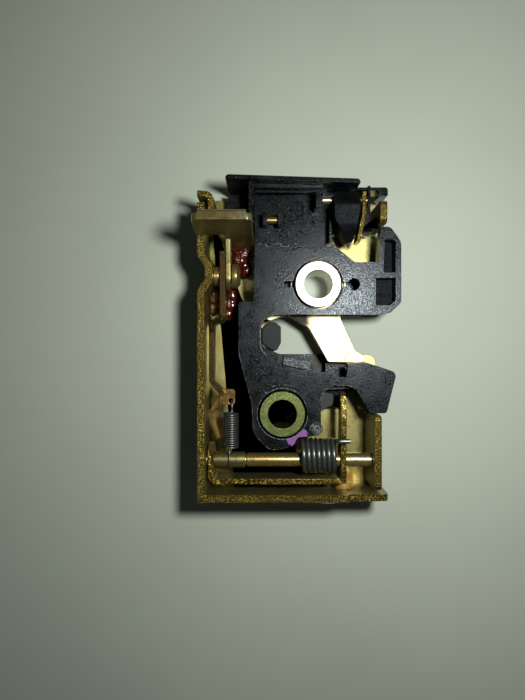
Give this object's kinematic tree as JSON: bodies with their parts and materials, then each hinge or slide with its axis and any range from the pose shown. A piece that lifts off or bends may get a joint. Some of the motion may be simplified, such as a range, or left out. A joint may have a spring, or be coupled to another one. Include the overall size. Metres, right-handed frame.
{
  "type": "side door latch",
  "caption": "Hook-type door latch: a plated steel tray with black moulded housings, a fork and pawl on hollow bushes, release levers and springs.",
  "frame": {"origin": "the fork's axis on the underside of the steel tray", "axes": "+Z from the tray up through the bushes; +X out of the throat, the way the striker leaves; +Y towards the recess and the locking levers"},
  "size_m": [0.0579, 0.0934, 0.0359],
  "materials": {
    "zinc_steel": "yellow chromated zinc",
    "bright_zinc": "bright yellow zinc",
    "pale_bush": "ground pale face",
    "zinc_bush": "green-yellow zinc",
    "phosphated_steel": "dark phosphate",
    "spring_steel": "oiled dark wire",
    "black_moulding": "semi-gloss, greasy",
    "grey_elastomer": "satin",
    "amber_elastomer": "satin"
  },
  "bodies": {
    "frame": {"base_frame": "zinc_steel", "lower_housing": "black_moulding", "striker_bumper": "grey_elastomer", "upper_housing": "black_moulding", "recess_housing": "black_moulding", "fork_bush": "pale_bush", "pawl_bush": "zinc_bush", "fork_spring": "spring_steel", "pawl_spring": "spring_steel", "pivot_rod": "bright_zinc", "return_spring": "spring_steel", "tension_spring": "spring_steel", "lever_rivet": "zinc_steel", "lock_pin": "bright_zinc", "link_pin": "bright_zinc", "wall_rivet": "phosphated_steel", "lever_stop": "amber_elastomer"},
    "fork": {"fork": "zinc_steel"},
    "pawl": {"pawl": "phosphated_steel"},
    "outside_lever": {"outside_lever": "zinc_steel"},
    "side_link": {"side_link": "zinc_steel"},
    "inside_lever": {"inside_lever": "zinc_steel"},
    "lock": {"lock_lever": "black_moulding", "lock_plate": "zinc_steel"}
  },
  "joints": [
    {"name": "fork_pivot", "type": "hinge", "parent": "frame", "child": "fork", "pos_m": [0, 0, 0.009], "axis": [0, 0, 1], "range_deg": [0, 52], "stiffness_Nm_per_rad": 0.02, "springref_deg": -17.19, "deforming": ["fork_spring"]},
    {"name": "pawl_pivot", "type": "hinge", "parent": "frame", "child": "pawl", "pos_m": [-0.0102, -0.037, 0.009], "axis": [0, 0, 1], "range_deg": [0, 6], "deforming": ["pawl_spring"]},
    {"name": "outside_lever_pivot", "type": "hinge", "parent": "frame", "child": "outside_lever", "pos_m": [0, -0.0505, 0.014], "axis": [1, 0, 0], "range_deg": [0, 12], "stiffness_Nm_per_rad": 0.03, "springref_deg": -22.92, "deforming": ["return_spring"]},
    {"name": "side_link_slide", "type": "slide", "parent": "frame", "child": "side_link", "axis": [0, 1, 0], "range_m": [0, 0.004], "stiffness_N_per_m": 200, "springref_m": -0.01, "deforming": ["tension_spring"]},
    {"name": "inside_lever_pivot", "type": "hinge", "parent": "frame", "child": "inside_lever", "pos_m": [-0.0255, 0.0026, 0.014], "axis": [1, 0, 0], "range_deg": [0, 22], "stiffness_Nm_per_rad": 0.02, "springref_deg": -22.92},
    {"name": "lock_lever_pivot", "type": "hinge", "parent": "frame", "child": "lock", "pos_m": [0.0075, 0.0246, 0.014], "axis": [1, 0, 0], "range_deg": [-12, 0]}
  ],
  "couplings": [
    {"joint": "pawl_pivot", "follows": "outside_lever_pivot", "ratio": 0.5}
  ]
}
